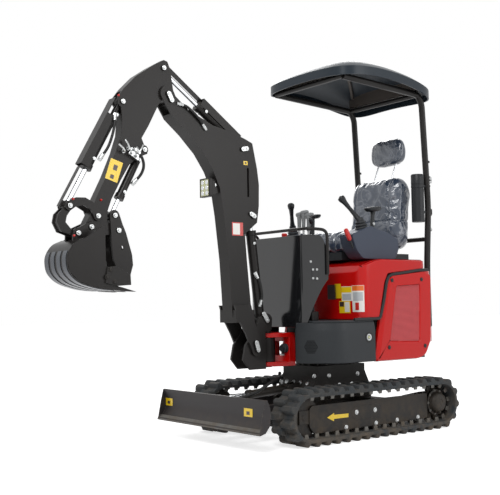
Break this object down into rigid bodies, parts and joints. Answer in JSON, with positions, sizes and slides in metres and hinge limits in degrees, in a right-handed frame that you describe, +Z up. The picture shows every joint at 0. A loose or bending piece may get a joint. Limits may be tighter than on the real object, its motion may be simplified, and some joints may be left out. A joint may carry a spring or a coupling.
{
  "type": "mini excavator",
  "caption": "Compact tracked excavator with canopy, offset-swing boom, curved dipper, bucket, hydraulic thumb and front dozer blade.",
  "frame": {"origin": "middle of the footprint box, on the ground under the tracks", "axes": "+X forwards, +Y to the operator's left, +Z up"},
  "size_m": [2.4026, 0.93, 2.1897],
  "materials": {
    "black_paint": "satin",
    "red_paint": "gloss",
    "rubber_track": "matte",
    "black_plastic": "matte",
    "chrome_rod": "polished",
    "vinyl": "satin",
    "console_plastic": "matte",
    "roof_plastic": "satin",
    "cast_metal": "matte"
  },
  "bodies": {
    "undercarriage": {"track_left": "rubber_track", "track_right": "rubber_track", "track_frame_left": "black_paint", "track_frame_right": "black_paint", "idler_left": "black_paint", "idler_right": "black_paint", "sprocket_left": "black_paint", "sprocket_right": "black_paint", "car_body": "black_paint"},
    "blade": {"dozer_blade": "black_paint"},
    "blade_barrel": {"blade_cylinder_barrel": "black_paint"},
    "blade_rod": {"blade_cylinder_rod": "chrome_rod"},
    "upper_body": {"lower_cowl_left": "black_plastic", "lower_cowl_right": "black_plastic", "main_frame": "black_paint", "swing_bracket": "red_paint", "floor_plate": "black_paint", "engine_hood": "red_paint", "side_panel_left": "red_paint", "side_panel_right": "red_paint", "counterweight": "red_paint", "rear_cover": "red_paint", "engine_block": "cast_metal", "front_guard": "black_paint", "handrail": "black_paint", "travel_levers": "black_paint", "seat_base": "black_paint", "seat_cushion": "vinyl", "seat_back": "vinyl", "headrest": "vinyl", "console_left": "console_plastic", "console_right": "console_plastic", "joystick_left": "black_plastic", "joystick_right": "black_plastic", "canopy_frame": "black_paint", "canopy_roof": "roof_plastic", "document_tube": "black_plastic"},
    "swing_post": {"swing_post": "black_paint"},
    "boom": {"boom": "black_paint", "work_light": "black_paint"},
    "boom_barrel": {"boom_cylinder_barrel": "black_paint"},
    "boom_rod": {"boom_cylinder_rod": "chrome_rod"},
    "dipper": {"dipper": "black_paint"},
    "arm_barrel": {"arm_cylinder_barrel": "black_paint"},
    "arm_rod": {"arm_cylinder_rod": "chrome_rod"},
    "bucket": {"bucket": "black_paint"},
    "rocker": {"rocker_arm": "black_paint"},
    "bucket_link": {"bucket_link": "black_paint"},
    "bucket_barrel": {"bucket_cylinder_barrel": "black_paint"},
    "bucket_rod": {"bucket_cylinder_rod": "chrome_rod"},
    "thumb": {"thumb": "black_paint"},
    "thumb_barrel": {"thumb_cylinder_barrel": "black_paint"},
    "thumb_rod": {"thumb_cylinder_rod": "chrome_rod"}
  },
  "joints": [
    {"name": "slew", "type": "hinge", "parent": "undercarriage", "child": "upper_body", "pos_m": [-0.53474, 0, 0.398], "axis": [0, 0, 1], "continuous": true},
    {"name": "swing", "type": "hinge", "parent": "upper_body", "child": "swing_post", "pos_m": [-0.10474, 0, 0.486], "axis": [0, 0, 1], "range_deg": [-50, 50]},
    {"name": "boom_lift", "type": "hinge", "parent": "swing_post", "child": "boom", "pos_m": [0.02726, 0, 0.492], "axis": [0, -1, 0], "range_deg": [-28, 8]},
    {"name": "dipper_swing", "type": "hinge", "parent": "boom", "child": "dipper", "pos_m": [0.57226, 0, 1.848], "axis": [0, -1, 0], "range_deg": [-18, 40]},
    {"name": "bucket_curl", "type": "hinge", "parent": "dipper", "child": "bucket", "pos_m": [1.02626, 0, 1.131], "axis": [0, -1, 0], "range_deg": [-3, 60]},
    {"name": "thumb_pivot", "type": "hinge", "parent": "dipper", "child": "thumb", "pos_m": [0.87326, 0, 1.12], "axis": [0, -1, 0], "range_deg": [-60, 2]},
    {"name": "blade_lift", "type": "hinge", "parent": "undercarriage", "child": "blade", "pos_m": [-0.28474, 0, 0.185], "axis": [0, -1, 0], "range_deg": [-8.5, 8]},
    {"name": "boom_cylinder_tilt", "type": "hinge", "parent": "swing_post", "child": "boom_barrel", "pos_m": [-0.05474, 0, 0.651], "axis": [0, -1, 0], "range_deg": [-34.43, 10.49]},
    {"name": "boom_cylinder_slide", "type": "slide", "parent": "boom_barrel", "child": "boom_rod", "axis": [0.1181, 0, 0.993], "range_m": [-0.01956, 0.06305]},
    {"name": "arm_cylinder_tilt", "type": "hinge", "parent": "boom", "child": "arm_barrel", "pos_m": [0.06126, 0, 1.606], "axis": [0, -1, 0], "range_deg": [-2.31, 4.91]},
    {"name": "arm_cylinder_slide", "type": "slide", "parent": "arm_barrel", "child": "arm_rod", "axis": [0.8141, 0, 0.5807], "range_m": [-0.08028, 0.03769]},
    {"name": "bucket_cylinder_tilt", "type": "hinge", "parent": "dipper", "child": "bucket_barrel", "pos_m": [0.83726, 0, 1.776], "axis": [0, -1, 0], "range_deg": [-0.243, 0.069]},
    {"name": "bucket_cylinder_slide", "type": "slide", "parent": "bucket_barrel", "child": "bucket_rod", "axis": [0.4852, 0, -0.8744], "range_m": [-0.1049, 0.00785]},
    {"name": "rocker_pivot", "type": "hinge", "parent": "dipper", "child": "rocker", "pos_m": [0.98726, 0, 1.187], "axis": [0, -1, 0], "range_deg": [-2.71, 38.17]},
    {"name": "bucket_link_pivot", "type": "hinge", "parent": "rocker", "child": "bucket_link", "pos_m": [1.14026, 0, 1.23], "axis": [0, -1, 0], "range_deg": [-15.32, 1.12]},
    {"name": "thumb_cylinder_tilt", "type": "hinge", "parent": "dipper", "child": "thumb_barrel", "pos_m": [0.71226, 0, 1.542], "axis": [0, -1, 0], "range_deg": [-0.24, 3.48]},
    {"name": "thumb_cylinder_slide", "type": "slide", "parent": "thumb_barrel", "child": "thumb_rod", "axis": [0.4654, 0, -0.8851], "range_m": [-0.00439, 0.07218]},
    {"name": "blade_cylinder_tilt", "type": "hinge", "parent": "undercarriage", "child": "blade_barrel", "pos_m": [-0.24474, 0, 0.262], "axis": [0, -1, 0], "range_deg": [-9.54, 9.01]},
    {"name": "blade_cylinder_slide", "type": "slide", "parent": "blade_barrel", "child": "blade_rod", "axis": [0.9979, 0, -0.0654], "range_m": [-0.0121, 0.01279]}
  ],
  "couplings": [
    {"joint": "boom_cylinder_tilt", "follows": "boom_lift", "ratio": 1.1968},
    {"joint": "boom_cylinder_slide", "follows": "boom_lift", "m_per_rad": -0.12459},
    {"joint": "arm_cylinder_tilt", "follows": "dipper_swing", "ratio": 0.1179},
    {"joint": "arm_cylinder_slide", "follows": "dipper_swing", "m_per_rad": -0.11092},
    {"joint": "bucket_cylinder_tilt", "follows": "bucket_curl", "ratio": -0.00305},
    {"joint": "bucket_cylinder_slide", "follows": "bucket_curl", "m_per_rad": -0.09755},
    {"joint": "rocker_pivot", "follows": "bucket_curl", "ratio": 0.6222},
    {"joint": "bucket_link_pivot", "follows": "bucket_curl", "ratio": -0.2492},
    {"joint": "thumb_cylinder_tilt", "follows": "thumb_pivot", "ratio": -0.0559},
    {"joint": "thumb_cylinder_slide", "follows": "thumb_pivot", "m_per_rad": -0.06697},
    {"joint": "blade_cylinder_tilt", "follows": "blade_lift", "ratio": 1.0747},
    {"joint": "blade_cylinder_slide", "follows": "blade_lift", "m_per_rad": -0.07908}
  ]
}
